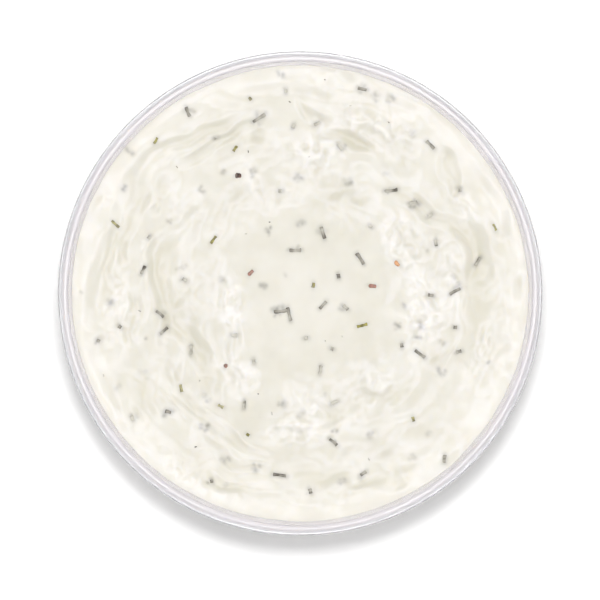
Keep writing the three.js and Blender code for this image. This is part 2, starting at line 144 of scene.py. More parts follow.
# Marks of the spoon, as in the solid. Each runs along an arc: its angle at both ends (degrees
# counterclockwise from +X), the radius of its middle line at even steps between them, its width and its
# depth or height (millimetres).
GROOVES = [
    dict(angles=(150, 236), radii=(35.5, 34, 32.4, 27.6, 29.5), width=7.4, height=0.8),
    dict(angles=(203, 222), radii=(45.5, 46.5), width=6, height=0.4),
    dict(angles=(260, 292), radii=(43.5, 44.5), width=7, height=0.6),
    dict(angles=(-56, -86), radii=(30.8, 29), width=5.5, height=0.6),
    dict(angles=(-30, -58), radii=(33.4, 32), width=5, height=0.5),
    dict(angles=(58, -28), radii=(31, 32.6, 36.4, 41.6, 43.9, 43.4, 42, 40), width=7.6, height=0.75),
    dict(angles=(114, 100), radii=(38.5, 38), width=4.5, height=0.45),
    dict(angles=(138, 177), radii=(47.4, 46.2, 43.8, 42.2), width=5, height=0.6),
    dict(angles=(154, 182), radii=(46.8, 46.2), width=4.4, height=0.5),
    dict(angles=(174, 198), radii=(40.6, 41.8), width=4.6, height=0.55),
    dict(angles=(139, 105), radii=(48.4, 46.4, 44.6), width=3.6, height=0.5),
    dict(angles=(138, 104), radii=(41.4, 42.8, 42.4), width=4, height=0.55),
    dict(angles=(138, 154), radii=(41.4, 41.8), width=4, height=0.5),
    dict(angles=(84, 58), radii=(40, 38, 38.4), width=4.4, height=1.1),
    dict(angles=(93, 81), radii=(45.4, 43), width=3.8, height=0.5),
    dict(angles=(49, 30), radii=(48.4, 45.6), width=3.6, height=0.65),
    dict(angles=(281, 302), radii=(48.4, 51.6), width=3.4, height=0.6),
    dict(angles=(235, 260), radii=(48.2, 50.2), width=4.2, height=0.6),
    dict(angles=(236, 266), radii=(41.8, 44.6), width=4.4, height=0.6),
    dict(angles=(209, 239), radii=(36.4, 37, 38.4), width=4.6, height=0.55),
    dict(angles=(235, 259), radii=(36.4, 39.8), width=4, height=0.55),
    dict(angles=(-6, -32), radii=(37.2, 38.4), width=4.4, height=0.35),
]
RIDGES = [
    dict(angles=(144, 244), radii=(18.5, 17.5, 19, 23), width=8, height=0.6),
    dict(angles=(152, 204), radii=(37.8, 37, 37.4), width=5, height=0.45),
    dict(angles=(136, 110), radii=(45, 44.8, 44), width=3.6, height=0.35),
    dict(angles=(178, 120), radii=(50.4, 51), width=5, height=0.3),
    dict(angles=(90, 54), radii=(44.8, 44.2, 43.6), width=7, height=0.6),
    dict(angles=(96, 78), radii=(34.2, 35), width=6, height=0.6),
    dict(angles=(24, -12), radii=(39.4, 40.2, 39), width=4, height=0.3),
    dict(angles=(46, 4), radii=(26, 27.5, 28), width=7, height=0.7),
    dict(angles=(10, -30), radii=(28.5, 30, 32), width=7, height=0.75),
    dict(angles=(36, 12), radii=(46, 47.4), width=5.4, height=0.4),
    dict(angles=(-8, -34), radii=(46.2, 45.4), width=6, height=0.35),
    dict(angles=(-42, -64), radii=(28.6, 28), width=6, height=0.6),
    dict(angles=(252, 286), radii=(31.4, 33), width=6, height=0.6),
    dict(angles=(212, 244), radii=(40.6, 41.4), width=5, height=0.4),
    dict(angles=(292, 330), radii=(40.6, 40), width=7, height=0.45),
]

# Where the spoon pulled off and left the cream lumpy and glossy: the middle's angle and radius, how far
# the patch reaches each way (degrees, millimetres), and the height of its lumps (millimetres).
LUMPY_PATCHES = [
    dict(angle=28, radius=27.5, turn=13, reach=4, height=0.45),
    dict(angle=6, radius=28.3, turn=6, reach=3, height=0.36),
    dict(angle=-9, radius=30, turn=12, reach=4.2, height=0.45),
    dict(angle=4, radius=37, turn=12, reach=3, height=0.3),
    dict(angle=308, radius=28.6, turn=9, reach=3.2, height=0.36),
    dict(angle=277, radius=27, turn=7, reach=3, height=0.3),
    dict(angle=271, radius=33, turn=12, reach=3.2, height=0.34),
    dict(angle=190, radius=17, turn=20, reach=3.4, height=0.38),
    dict(angle=232, radius=23.5, turn=11, reach=3.2, height=0.38),
    dict(angle=113, radius=28.5, turn=5, reach=4.5, height=0.22),
    dict(angle=83, radius=35, turn=10, reach=4.5, height=0.38),
    dict(angle=68, radius=44.5, turn=14, reach=4.5, height=0.28),
    dict(angle=28, radius=44.5, turn=9, reach=3, height=0.2),
    dict(angle=-19, radius=46, turn=7, reach=3, height=0.22),
    dict(angle=184, radius=43.5, turn=14, reach=4, height=0.2),
    dict(angle=240, radius=51.5, turn=14, reach=3, height=0.22),
]
GLOSSY_HEIGHT = 0.35  # of the lumps where a patch is at its glossiest
HIGHLIGHT_TOPS = (-0.2, 0.2)  # between these heights a lump's top is painted white, a painted highlight
# How much paler the cream is painted in the middle, as painted light, and close to the wall, as a painted
# highlight.
PAINTED_LIGHT_MIDDLE = dict(share=0.3, radius=12)
PAINTED_HIGHLIGHT_EDGE = dict(share=0.35, fade=(49, 54))
GROOVE_SHADE_SHARE = 1.05  # painted shade in the grooves: how deep the colour is in a groove of one millimetre

# ---- Slivers ----
# The slivers that catch the eye, as in the solid: kind, x, y, length (millimetres) and turn (degrees).
MAIN_SLIVERS = [
    ("dill", -4.7, -4.2, 3.4, 8),  # these two cross, as a sprig
    ("dill", -2.7, -5, 3.4, -76),
    ("dill", -10, 42.5, 3.5, 33),
    ("dill", 14.5, 8.4, 3.2, -57),
    ("dill", 5.5, 14.7, 3, -72),
    ("dill", 5.5, -2.8, 2.4, 48),
    ("dill", 22, 25, 3.2, 8),
    ("dill", 29, -14.6, 3, -37),
    ("dill", 37.5, 0.5, 2.9, 30),
    ("dill", 43, 7.7, 2.4, 57),
    ("dill", -1.2, 10.5, 2.9, 0),
    ("dill", 31.5, 36, 2.7, -45),
    ("dill", 15, 49.5, 2.2, -12),
    ("dill", -38, 5.7, 2.2, 65),
    ("dill", -34, -5, 2.4, -40),
    ("dill", -33, -9, 2.4, 42),
    ("dill", -32, -28.7, 1.5, -15),
    ("dill", -5, -44, 3.2, -8),
    ("dill", 8, -36, 2.4, -40),
    ("dill", 35, -40, 1.9, 83),
    ("stem", 15, -7.7, 2.6, 15),
    ("stem", -21, 13, 2.2, 55),
    ("stem", -35, 37, 1.7, 60),
    ("stem", 47, 16, 1.7, -65),
    ("carrot", 23.5, 7.3, 1.6, -50),
    ("pepper", 17.5, 1.8, 1.9, -5),
    ("pepper", -12, 5, 1.7, 45),
    ("peppercorn", -15, 28.5, 1.5, 0),
    ("pepper", -18, -17.5, 1, 70),
]
SCATTERED = 42
SCATTER_SEED = 20417
SCATTER_SPACING = 4.5
SCATTER_MARGIN = 3  # nearest that one lies to the wall
SCATTER_LENGTH = (0.8, 2.5)
DILL_SHARE = 0.88
SLIVER_WIDTH = {"dill": 0.95, "stem": 0.8, "carrot": 1.25, "pepper": 1.1, "peppercorn": 1.4}
SLIVER_THICKNESS = {"dill": 0.42, "stem": 0.42, "carrot": 0.55, "pepper": 0.5, "peppercorn": 0.85}
FIRST_FORM_SEED = 11  # for the form of the slivers, one seed for each kind from here on
RANDOM_FACTOR = 48271  # of the rule that draws the random numbers, as in the solid
RANDOM_RANGE = 2147483647

# Places along a sliver from end to end, and how wide it is there. A cut one is blunt, a crumb is round.
BLUNT = [(-1, 0.6), (-0.93, 0.96), (-0.5, 0.94), (0, 0.92), (0.5, 0.96), (0.93, 0.96), (1, 0.6)]
ROUND = [(-1, 0.35), (-0.85, 0.7), (-0.5, 0.93), (0, 1), (0.5, 0.93), (0.85, 0.7), (1, 0.35)]
ROUND_KINDS = ("carrot", "pepper", "peppercorn", "speck")
SLIVER_SIDES = 8
SIDE_TURNS = [2 * math.pi * i / SLIVER_SIDES for i in range(SLIVER_SIDES)]
SLIVER_BOW = 0.1  # most that it is bowed, as a share of its length
SLIVER_UNEVEN = (0.82, 0.32)  # least share of its width, and how much more it has at most
SLIVER_SINK = 0.14  # share of its thickness that its middle is sunk by, and by which its ends stand up
SLIVER_LIFT = 0.22

# How much cream covers a sliver, from 0 to 1.
FILM = dict(
    least=0.05,
    main=0.22,  # at most this much more on a sliver that catches the eye
    scattered=0.7,  # and this much more on any other
    middle=0.18,  # and this much more in the middle of a long one
    long=(1.2, 2.2),  # lengths between which a sliver becomes a long one
    end=0.5,  # at most this much more on one end than on the other
    side=0.4,  # and on one side than on the other
    blotch=0.35,  # how unevenly it lies from ring to ring
    stripes=0.12,  # at most this much more along the back and the edges, less between them
    edges=0.12,  # this much more along the edges, partly painted light over the shade of the sliver's sides
    most=0.72,
)
VEGETABLE_FILM = 0.4  # share of that film which the bits of vegetable have

# Finer things that only this model has: slivers sunk in the cream, which show as soft grey smudges,
# and specks on it.
LOOSE_MARGIN = 1.5  # nearest that one lies to the wall
SUNK = 46
SUNK_SEED = 977
SUNK_LENGTH = (0.6, 2.0)
SUNK_SPACING = 3
SPECKS = 18
SPECK_SEED = 5531
SPECK_LENGTH = (0.4, 0.9)
SPECK_SPACING = 2
SPECK_SIZES = (0.34, 0.25)  # width and thickness
SPECK_FORM_SEED = 31

# A smudge has an amount of grey, and a spread over which it fades. Pairs are the least of one, and how much
# more it has at most. Each sliver has a halo of painted shadow round it, and a sunk one is drawn as a few
# grey blobs.
HERB_SHADOW_HALO = 0.4
OTHER_SHADOW_HALO = 0.2
SHADOW_HALO_SPREAD = 0.7
MOST_BLOBS = 3
BLOB_DRIFT = 1.6  # width of the square that the blobs lie in
BLOB_AMOUNT = (0.18, 0.4)
BLOB_SPREAD = (0.4, 0.4)
BLOB_TURN = 90  # most that one is turned from its sliver
SMUDGE_REACH = 5  # farthest that a smudge goes
SMUDGE_FAINTEST = 0.01  # least amount that is made blotchy
SMUDGE_LUMPS = (0.6, 0.7, 2.5)  # height, size and pattern of its blotches
SMUDGE_SEED = 978

# Slivers that show through the wall, where they lie against it.
AT_WALL = 46
AT_WALL_SEED = 8123
AT_WALL_HEIGHTS = (4.5, 34)
AT_WALL_SPACING = 7
AT_WALL_FORM_SEED = 41

# ---- The view, the floor and the light ----
IMAGE_SIZE = 600
MIDDLE_PX = (300.2, 293.5)  # the tub's middle in the picture
RIM_PX = 242.4  # radius of the rim in the picture
CAMERA_HEIGHT = 2.5
SENSOR = 36  # millimetres
FLOOR_HALF = 2.0
HORIZON = (0.1, 0.45)  # the world turns from white to dim between these, where 1 is overhead
RING_STEP = 45  # degrees from one light of the ring to the next
CORE_STEP = 60  # and of the core and the low ones
CORE_SHIFT = 15  # of the core's from the low ones


# ---- Small helpers ----
def smooth(low, high, x):
    t = np.clip((x - low) / (high - low), 0, 1)
    return t * t * (3 - 2 * t)


def random_numbers(seed):
    """Numbers from 0 to 1 that are the same on every run."""
    state = seed
    while True:
        state = (state * RANDOM_FACTOR) % RANDOM_RANGE
        yield state / RANDOM_RANGE


def drawn(numbers, least, more):
    """A random number from least to least + more."""
    return least + more * next(numbers)


def swung(numbers, width):
    """A random number within half a width of zero."""
    return width * (next(numbers) - 0.5)


def between(limits, share):
    low, high = limits
    return low + (high - low) * share


def new_object(name, points, faces, material, smooth_faces=True):
    mesh = bpy.data.meshes.new(name)
    mesh.from_pydata([tuple(p) for p in points], [], [tuple(f) for f in faces])
    mesh.update()
    if smooth_faces:
        mesh.polygons.foreach_set("use_smooth", [True] * len(mesh.polygons))
    mesh.materials.append(material)
    piece = bpy.data.objects.new(name, mesh)
    bpy.context.collection.objects.link(piece)
    return piece


def paint(piece, name, values):
    """Gives each point of the mesh a number from 0 to 1, which a material reads by its name."""
    attribute = piece.data.attributes.new(name, "FLOAT", "POINT")
    attribute.data.foreach_set("value", np.clip(values, 0, 1).astype(np.float32))


def ring_points(radius, height, count):
    """Points all round the middle."""
    turns = [2 * math.pi * i / count for i in range(count)]
    return [(radius * math.cos(turn), radius * math.sin(turn), height) for turn in turns]


def bands(first, rings, count):
    """Quads between rings of count points each. first is the number of the first ring's first point."""
    faces = []
    for n in range(rings - 1):
        a, b = first + n * count, first + (n + 1) * count
        faces += [(a + i, b + i, b + (i + 1) % count, a + (i + 1) % count) for i in range(count)]
    return faces


# ---- The cream's face ----
def round_section(across):
    return (1 + np.cos(np.pi * across)) / 2


def sharp_section(across):
    return (1 - across) ** TROUGH_SHARPNESS * (1 + TROUGH_SHARPNESS * across)


def marks_height(marks, section, radius, angle):
    """How high or deep the marks are. A cross section runs from 0 in the middle to 1 at an edge."""
    total = np.zeros_like(radius)
    for mark in marks:
        start, end = mark["angles"]
        from_middle = (angle - (start + end) / 2 + 180) % 360 - 180
        along = np.clip(from_middle / (end - start) + 0.5, 0, 1)
        steps = np.linspace(0, 1, len(mark["radii"]))
        middle = np.interp(along, steps, mark["radii"])
        width = mark["width"] * (1 + WIDTH_SWING * np.sin(WIDTH_WAVES * along + 2 * start))
        across = np.clip(abs(radius - middle) / (width / 2), 0, 1)
        swell = SWELL_LEVEL + SWELL_SWING * np.sin(SWELL_WAVES * along + start)
        ends = smooth(0, MARK_FADE, along) * smooth(0, MARK_FADE, 1 - along)
        total += mark["height"] * swell * section(across) * ends
    return total


def bent(a, b, length, bend, bend_length):
    """How far along a wave each place is, in radians. Its crests lie across a and wander along b."""
    return a / length + bend * np.sin(b / bend_length)


def unevenness(x, y, radius, turn):
    """Waves, lumps, and streaks that follow the spoon round. The middle stays smooth."""
    waves = np.sin(bent(x, y, *WAVES["along"])) * np.cos(y / WAVES["across"] + WAVES["shift"])
    lumps = np.sin(bent(x, y, *LUMPS["along"])) * np.cos(bent(y, x, *LUMPS["across"]))
    drift, drift_turns, drift_length = STREAKS["drift"]
    swing, swing_length = STREAKS["swing"]
    drifting = drift * np.sin(drift_turns * turn + radius / drift_length)
    swinging = swing * np.sin(radius / swing_length)
    streaky = np.sin(radius / STREAKS["width"] + drifting) * np.cos(STREAKS["turns"] * turn + swinging)
    parts = ((WAVES, waves), (LUMPS, lumps), (STREAKS, streaky))
    return sum(kind["height"] * part * smooth(*kind["fade"], radius) for kind, part in parts)


def shaky(x, y):
    """Radius and angle (degrees) of each point, shifted to and fro, so that no mark is a clean arc."""
    aside = x + sum(shake["reach"] * np.sin(bent(y, x, *shake["aside"])) for shake in SHAKES)
    up = y + sum(shake["reach"] * np.sin(bent(x, y, *shake["up"])) for shake in SHAKES)
    return np.hypot(aside, up), np.degrees(np.arctan2(up, aside))


def main_height(x, y):
    """The face that the solid has, over DIP_LEVEL. Millimetres in and out."""
    radius = np.hypot(x, y)
    turn = np.arctan2(y, x)
    share = radius / (DIP_EDGE / MM)
    lobes = np.sin(CLIMB_LOBES[0] * turn + 1) * np.cos(CLIMB_LOBES[1] * turn)
    climb = CLIMB / MM * (1 + CLIMB_SWING * lobes)
    rise = DIP_RISE / MM * smooth(RISE_FROM, 1, share) + climb * smooth(CLIMB_FROM, 1, share)
    crown = CROWN_HEIGHT * np.exp(-((radius / CROWN_RADIUS) ** 2))
    near, angle = shaky(x, y)
    ridges = marks_height(RIDGES, round_section, near, angle)
    grooves = marks_height(GROOVES, sharp_section, near, angle)
    return rise + crown + unevenness(x, y, radius, turn) + ridges - grooves


def patch_strength(x, y):
    """How high the lumps are in the glossy patches. Millimetres in and out."""
    radius = np.hypot(x, y)
    angle = np.degrees(np.arctan2(y, x))
    height = np.zeros_like(radius)
    for patch in LUMPY_PATCHES:
        across = (radius - patch["radius"]) / patch["reach"]
        round_it = ((angle - patch["angle"] + 180) % 360 - 180) / patch["turn"]
        height = np.maximum(height, patch["height"] * np.exp(-(across**2) - round_it**2))
    return height


def lump_noise(x, y, height, size, pattern):
    """Smooth noise up to a height under or over zero, in lumps of about a size."""
    places = [(px / size, py / size, pattern) for px, py in zip(x.flat, y.flat)]
    return height * np.array([noise.noise(place) for place in places]).reshape(x.shape)


def roll_noise(radius, turn, height, width, shortness):
    """The same in rolls that follow the spoon round."""
    places = zip(radius.flat, np.cos(turn).flat, np.sin(turn).flat)
    values = [noise.noise((r / width, shortness * c, shortness * s)) for r, c, s in places]
    return height * np.array(values).reshape(radius.shape)


def fine_height(x, y):
    """The lumps and pits that are too fine for the solid. Millimetres in and out."""
    radius = np.hypot(x, y)
    turn = np.arctan2(y, x)
    pulled = lump_noise(x, y, *PULLED_LUMPS) + lump_noise(x, y, *PULLED_PITS)
    rolls = (
        roll_noise(radius, turn, *ROLLS)
        + roll_noise(radius, turn, *FINE_ROLLS)
        + lump_noise(x, y, *LOOSE_LUMPS)
        + roll_noise(radius, turn, *BROAD_ROLLS)
    )
    calm = CALM_LEVEL + lump_noise(x, y, *CALM_LUMPS)
    away = smooth(*ROLLS_FADE, radius)
    return PULLED_SHARE * patch_strength(x, y) * pulled + ROLLS_SHARE * calm * rolls * away


def face_height(x, y):
    """Height of the cream over the floor, in metres, at points in metres."""
    x, y = np.asarray(x) / MM, np.asarray(y) / MM
    return DIP_LEVEL + MM * (main_height(x, y) + fine_height(x, y))


# ---- The tub ----
def bend(radius, height, points):
    """Points of a profile, from a bend in millimetres."""
    return [(radius + outward * MM, height + up * MM) for outward, up in points]


# The inside, from the middle of the floor up to the crown of the rim.
FLOOR_TOP = FOOT_RECESS + WALL
INSIDE = [
    (0, FLOOR_TOP),
    *bend(FOOT_RADIUS, FLOOR_TOP, FLOOR_BEND),
    (SHOULDER_RADIUS - WALL, SHOULDER_HEIGHT),
    *bend(COLLAR_RADIUS - WALL, COLLAR_HEIGHT, COLLAR_BEND_IN),
    *bend(BEAD_RADIUS - WALL, BEAD_HEIGHT, BEAD_BEND_IN),
    *bend(LIP_RADIUS - WALL, HEIGHT, LIP_BEND_IN),
]

# From the crown over the rolled rim, down the outside and under the foot to the middle.
OUTSIDE = [
    *bend(RIM_RADIUS, HEIGHT, CROWN_BEND),
    *bend(RIM_RADIUS, HEIGHT, SKIRT_BEND),
    *bend(LIP_RADIUS, HEIGHT, LIP_BEND_OUT),
    *bend(BEAD_RADIUS, BEAD_HEIGHT, BEAD_BEND_OUT),
    *bend(COLLAR_RADIUS, COLLAR_HEIGHT, COLLAR_BEND_OUT),
    *bend(SHOULDER_RADIUS, SHOULDER_HEIGHT, SHOULDER_BEND),
    *bend(FOOT_RADIUS, 0, FOOT_BEND),
    (FOOT_RADIUS - FOOT_WIDTH, 0),
    (FOOT_RADIUS - FOOT_WIDTH - RECESS_SLOPE, FOOT_RECESS),
    (0, FOOT_RECESS),
]

# What the cream lies against, and the straight part of it between the floor's bend and the shoulder.
SIDE = [point for point in INSIDE[1:] if point[1] < BEAD_HEIGHT]
STRAIGHT_SIDE = SIDE[len(FLOOR_BEND) - 1 : len(FLOOR_BEND) + 1]


def rounded(profile):
    """The profile with each inner corner turned into a short curve."""
    points = [Vector(p) for p in profile]
    result = [points[0]]
    for before, corner, after in zip(points, points[1:], points[2:]):
        start, end = [
            corner + way.normalized() * min(CORNER_REACH, way.length * CORNER_SHARE)
            for way in (before - corner, after - corner)
        ]
        for i in range(CORNER_STEPS + 1):
            t = i / CORNER_STEPS
            result.append(start * (1 - t) ** 2 + corner * 2 * t * (1 - t) + end * t * t)
    return result + [points[-1]]


def make_tub(material):
    profile = rounded(INSIDE + OUTSIDE)
    points = [(0, 0, profile[0].y)]
    for radius, height in profile[1:-1]:
        points += ring_points(radius, height, TUB_SEGMENTS)
    points.append((0, 0, profile[-1].y))
    first, last = 1, len(points) - 1
    outer = last - TUB_SEGMENTS
    pairs = [(i, (i + 1) % TUB_SEGMENTS) for i in range(TUB_SEGMENTS)]
    faces = [(0, first + i, first + j) for i, j in pairs]
    faces += bands(first, len(profile) - 2, TUB_SEGMENTS)
    faces += [(outer + i, last, outer + j) for i, j in pairs]
    tub = new_object("tub_shell", points, faces, material)
    from_middle = np.array([math.hypot(x, y) for x, y, _ in points])
    # painted shade: the roll of the rim turns grey
    paint(tub, "edge", smooth(*RIM_SHADE_FADE, from_middle))
    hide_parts("tub")
    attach(tub, "root")


# ---- The cream ----
def radius_at(profile, height):
    """The radius at which a rising profile passes each height."""
    return np.interp(height, [z for _, z in profile], [r for r, _ in profile])


def stitched(counts):
    """Triangles between rings of points, each joined to the next. A ring of one point is a pole."""
    starts = [sum(counts[:n]) for n in range(len(counts))]
    rings = [range(start, start + count) for start, count in zip(starts, counts)]
    faces = []
    for inner, outer in zip(rings, rings[1:]):
        a, b = len(inner), len(outer)
        steps_a, steps_b = (a if a > 1 else 0), (b if b > 1 else 0)
        i = j = 0
        while i < steps_a or j < steps_b:
            if j < steps_b and (i >= steps_a or (j + 1) * a <= (i + 1) * b):
                faces.append((inner[i % a], outer[j % b], outer[(j + 1) % b]))
                j += 1
            else:
                faces.append((inner[i % a], outer[j % b], inner[(i + 1) % a]))
                i += 1
    return faces


def face_points(side):
    """Points of the cream's face, ring by ring from its middle to its side, and how many each ring has."""
    shares, turns, counts = [0.0], [0.0], [1]
    for n in range(1, FACE_RINGS + 1):
        count = RING_GROWTH * n
        counts.append(count)
        shares += [n / FACE_RINGS] * count
        turns += [2 * math.pi * i / count for i in range(count)]
    shares, turns = np.array(shares), np.array(turns)
    edge_x, edge_y = DIP_EDGE * np.cos(turns), DIP_EDGE * np.sin(turns)
    edge_height = DIP_LEVEL + MM * main_height(edge_x / MM, edge_y / MM)
    radii = shares * radius_at(side, edge_height)
    x, y = radii * np.cos(turns), radii * np.sin(turns)
    return list(zip(x, y, face_height(x, y))), counts


def cream_shares(x, y, on_side, slivers, sunk):
    """How far each of the cream's looks shows at each point, painted light and shade among them.
    Millimetres in.
    """
    from_middle = np.hypot(x, y)
    gloss = patch_strength(x, y) / GLOSSY_HEIGHT
    # painted highlights on the tops of the lumps in the glossy patches
    highlit_tops = smooth(*HIGHLIGHT_TOPS, lump_noise(x, y, *PULLED_LUMPS))
    painted_light_middle = PAINTED_LIGHT_MIDDLE["share"] * np.exp(-((from_middle / PAINTED_LIGHT_MIDDLE["radius"]) ** 2))
    painted_highlight_edge = PAINTED_HIGHLIGHT_EDGE["share"] * smooth(*PAINTED_HIGHLIGHT_EDGE["fade"], from_middle)
    return {
        # painted shadow round each sliver, and the grey of sunk herbs
        "herb_grey_and_shadow": np.where(on_side, 0, smudges_and_shadows(x, y, slivers, sunk)),
        # painted light on the cream's side against the wall
        "painted_light_side": on_side,
        # painted shade in the grooves
        "deep": GROOVE_SHADE_SHARE * marks_height(GROOVES, sharp_section, *shaky(x, y)),
        "gloss": gloss,
        # painted light in the middle, and painted highlights near the wall and on glossy lump tops
        "painted_light": painted_light_middle + painted_highlight_edge + gloss * highlit_tops,
    }


def make_cream(material, slivers, sunk):
    side = [(radius + INTO_WALL, height) for radius, height in SIDE]
    points, counts = face_points(side)
    on_face_count = len(points)
    for radius, height in reversed([point for point in side if point[1] < DIP_LEVEL]):
        points += ring_points(radius, height - INTO_FLOOR, SIDE_POINTS)
        counts.append(SIDE_POINTS)
    points.append((0, 0, FLOOR_TOP - INTO_FLOOR))
    counts.append(1)
    cream = new_object("cream", points, stitched(counts), material)
    x, y = (np.array([point[axis] for point in points]) / MM for axis in (0, 1))
    on_side = np.arange(len(points)) >= on_face_count
    for name, values in cream_shares(x, y, on_side, slivers, sunk).items():
        paint(cream, name, values)
    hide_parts("dip")
    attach(cream, "root")


# ---- Slivers of dill and vegetable ----
def random_place(numbers, margin):
    """A place on the face, as likely in one part of it as in another."""
    radius = (DIP_EDGE / MM - margin) * math.sqrt(next(numbers))
    angle = 2 * math.pi * next(numbers)
    return radius * math.cos(angle), radius * math.sin(angle)


def is_free(x, y, spacing, spots):
    return all(math.hypot(x - x1, y - y1) >= spacing for _, x1, y1, _, _ in spots)


def scattered_slivers():
    """The slivers that the solid scatters by its rule, from the same random numbers."""
    numbers = random_numbers(SCATTER_SEED)
    found = []
    while len(found) < SCATTERED:
        x, y = random_place(numbers, SCATTER_MARGIN)
        length = between(SCATTER_LENGTH, next(numbers) ** 2)
        turn = 360 * next(numbers)
        kind = "dill" if next(numbers) < DILL_SHARE else "stem"
        if is_free(x, y, SCATTER_SPACING, MAIN_SLIVERS + found):
            found.append((kind, x, y, length, turn))
    return found


def loose_spots(kind, count, seed, lengths, spacing, others):
    """More spots of one kind, each as (kind, x, y, length, turn)."""
    numbers = random_numbers(seed)
    found = []
    while len(found) < count:
        x, y = random_place(numbers, LOOSE_MARGIN)
        length = between(lengths, next(numbers))
        turn = 360 * next(numbers)
        if is_free(x, y, spacing, others + found):
            found.append((kind, x, y, length, turn))
    return found


def wall_spots():
    """Spots against the wall, each as (kind, degrees round the tub, height, length, turn)."""
    numbers = random_numbers(AT_WALL_SEED)
    mm_per_degree = math.radians(SHOULDER_RADIUS / MM)
    found = []
    while len(found) < AT_WALL:
        angle = 360 * next(numbers)
        height = between(AT_WALL_HEIGHTS, next(numbers))
        length = between(SCATTER_LENGTH, next(numbers))
        turn = 360 * next(numbers)
        asides = [((angle - a + 180) % 360 - 180) * mm_per_degree for _, a, _, _, _ in found]
        ups = [height - h for _, _, h, _, _ in found]
        if all(math.hypot(aside, up) >= AT_WALL_SPACING for aside, up in zip(asides, ups)):
            found.append(("dill", angle, height, length, turn))
    return found


def smudge_and_shadow_marks(slivers, sunk):
    """What is grey in the cream, each as (x, y, length, turn, amount, spread): a halo of painted shadow
    round each sliver, and blobs of sunk herbs.
    """
    numbers = random_numbers(SMUDGE_SEED)
    herbs = [sliver for sliver in slivers if sliver[0] == "dill"]
    marks = [
        (*sliver[1:], HERB_SHADOW_HALO if sliver in herbs else OTHER_SHADOW_HALO, SHADOW_HALO_SPREAD) for sliver in slivers
    ]
    for _, x, y, length, turn in sunk + herbs[::2]:
        for _ in range(1 + int(MOST_BLOBS * next(numbers))):
            place = (x + swung(numbers, BLOB_DRIFT), y + swung(numbers, BLOB_DRIFT))
            amount, spread = drawn(numbers, *BLOB_AMOUNT), drawn(numbers, *BLOB_SPREAD)
            marks.append((*place, length * next(numbers), drawn(numbers, turn, BLOB_TURN), amount, spread))
    return marks


def smudges_and_shadows(x, y, slivers, sunk):
    """How grey the cream is at each point, from sunk herbs and from the painted shadow round each sliver.
    Millimetres in.
    """
    herb_grey_and_shadow = np.zeros_like(x)
    for cx, cy, length, turn, amount, spread in smudge_and_shadow_marks(slivers, sunk):
        near = np.nonzero((abs(x - cx) < SMUDGE_REACH) & (abs(y - cy) < SMUDGE_REACH))[0]
        dx, dy = math.cos(math.radians(turn)), math.sin(math.radians(turn))
        along = np.clip((x[near] - cx) * dx + (y[near] - cy) * dy, -length / 2, length / 2)
        away = np.hypot(x[near] - cx - along * dx, y[near] - cy - along * dy)
        herb_grey_and_shadow[near] = np.maximum(herb_grey_and_shadow[near], amount * np.exp(-((away / spread) ** 2)))
    stained = np.nonzero(herb_grey_and_shadow > SMUDGE_FAINTEST)[0]
    herb_grey_and_shadow[stained] *= 1 + lump_noise(x[stained], y[stained], *SMUDGE_LUMPS)
    return herb_grey_and_shadow


def on_face(spot, along, sideways):
    """A point of a sliver on the cream's face, and the ways across the sliver and out of the cream."""
    _, cx, cy, _, turn = spot
    dx, dy = math.cos(math.radians(turn)), math.sin(math.radians(turn))
    x, y = cx + along * dx - sideways * dy, cy + along * dy + sideways * dx
    z = float(face_height(np.array([x * MM]), np.array([y * MM]))[0]) / MM
    return np.array((x, y, z)), np.array((-dy, dx, 0)), np.array((0, 0, 1))


def on_wall(spot, along, sideways):
    """The same for a sliver against the wall."""
    _, angle, height, _, turn = spot
    low, high = STRAIGHT_SIDE
    slope = (high[0] - low[0]) / (high[1] - low[1])
    radius = float(radius_at(STRAIGHT_SIDE, height * MM) + INTO_WALL) / MM
    a, t = math.radians(angle), math.radians(turn)
    outward, level = np.array((math.cos(a), math.sin(a), 0)), np.array((-math.sin(a), math.cos(a), 0))
    upward = (slope * outward + (0, 0, 1)) / math.hypot(slope, 1)
    lengthwise = math.cos(t) * level + math.sin(t) * upward
    across = math.cos(t) * upward - math.sin(t) * level
    middle = radius * outward + (0, 0, height) + along * lengthwise + sideways * across
    return middle, across, np.cross(level, upward)


def sliver_rings(spot, stations, width, thickness, numbers, lie):
    """Rings of points along one sliver, in metres."""
    length = spot[3]
    bow = swung(numbers, SLIVER_BOW) * length
    rings = []
    for t, share in stations:
        middle, across, out = lie(spot, t * length / 2, bow * (1 - t * t))
        narrow = share * drawn(numbers, *SLIVER_UNEVEN)
        lift = thickness * (SLIVER_LIFT * t * t - SLIVER_SINK)
        ring = []
        for turn in SIDE_TURNS:
            aside, up = width / 2 * narrow * math.cos(turn), thickness / 2 * narrow * math.sin(turn)
            ring.append((middle + aside * across + (lift + up) * out) * MM)
        rings.append(ring)
    return rings


def film_over_sliver(spot, numbers):
    """How unevenly cream covers one sliver."""
    return dict(
        all=drawn(numbers, FILM["least"], FILM["main"] if spot in MAIN_SLIVERS else FILM["scattered"]),
        middle=FILM["middle"] * next(numbers) * smooth(*FILM["long"], spot[3]),
        end=swung(numbers, FILM["end"]),
        side=swung(numbers, FILM["side"]),
        stripes=FILM["stripes"] * next(numbers),
    )


def film_over_ring(over, t, blotch):
    """How much cream covers each point of a ring. t runs from -1 to 1 along the sliver."""
    inner = 1 - t * t
    here = over["all"] + over["middle"] * inner + over["end"] * t + blotch
    film = []
    for turn in SIDE_TURNS:
        # More cream along the edges, partly painted light over the shade of the sides.
        outline = over["stripes"] * inner * math.cos(4 * turn) + FILM["edges"] * math.cos(turn) ** 2
        film.append(min(here + outline + over["side"] * math.cos(turn), FILM["most"]))
    return film


